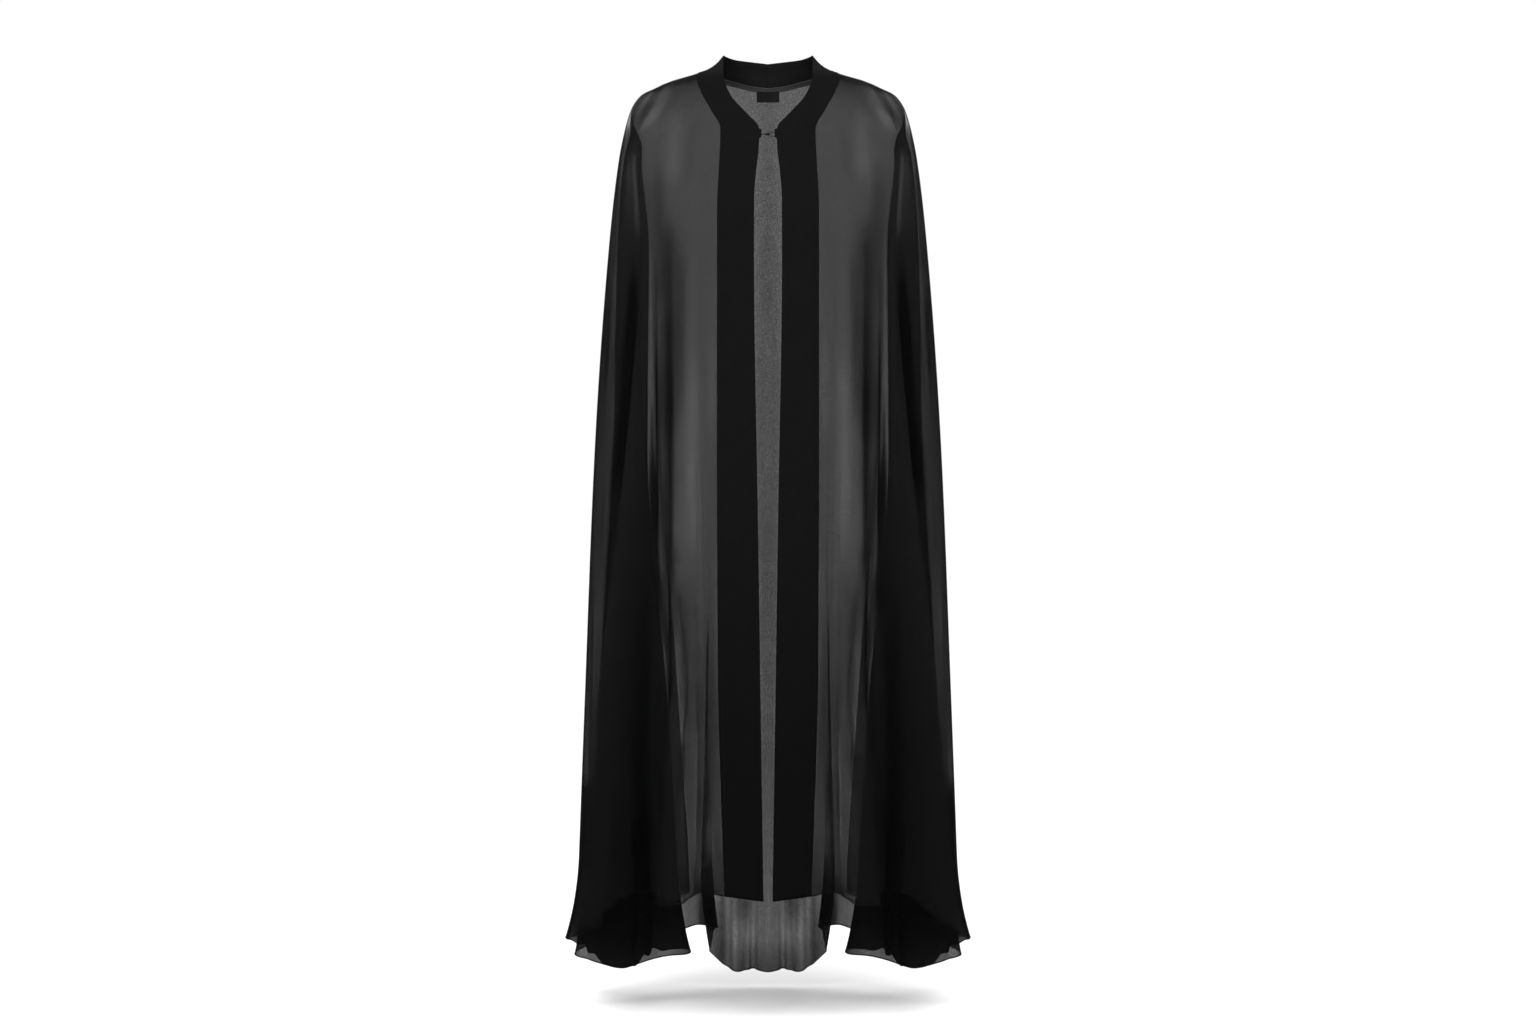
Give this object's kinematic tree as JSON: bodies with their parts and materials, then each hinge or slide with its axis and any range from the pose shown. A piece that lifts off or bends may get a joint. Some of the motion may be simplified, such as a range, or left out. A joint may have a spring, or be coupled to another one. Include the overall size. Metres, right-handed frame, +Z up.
{
  "type": "abaya",
  "caption": "Open-front abaya in its worn form: sheer black cloth in deep side folds, a hem longer behind, an opaque collar that runs on as front bands, and a hook and eye at the neck.",
  "frame": {"origin": "On the middle plane at the height of the neck's base, where the garment rests on the wearer's shoulders.", "axes": "+Z up, -Y the open front, +X the picture's right."},
  "size_m": [0.6732, 0.4162, 1.5535],
  "materials": {
    "sheer": "sheer crinkled black georgette",
    "band": "opaque matt black crepe, fused",
    "tape": "dark grey woven tape",
    "label": "black satin, bare",
    "clasp": "black lacquered wire"
  },
  "bodies": {
    "root": {"front_left": "sheer", "front_right": "sheer", "back_left": "sheer", "back_right": "sheer", "band_left": "band", "band_right": "band", "neck_tape": "tape", "label": "label", "neck_hook": "clasp", "neck_eye": "clasp"}
  },
  "joints": []
}
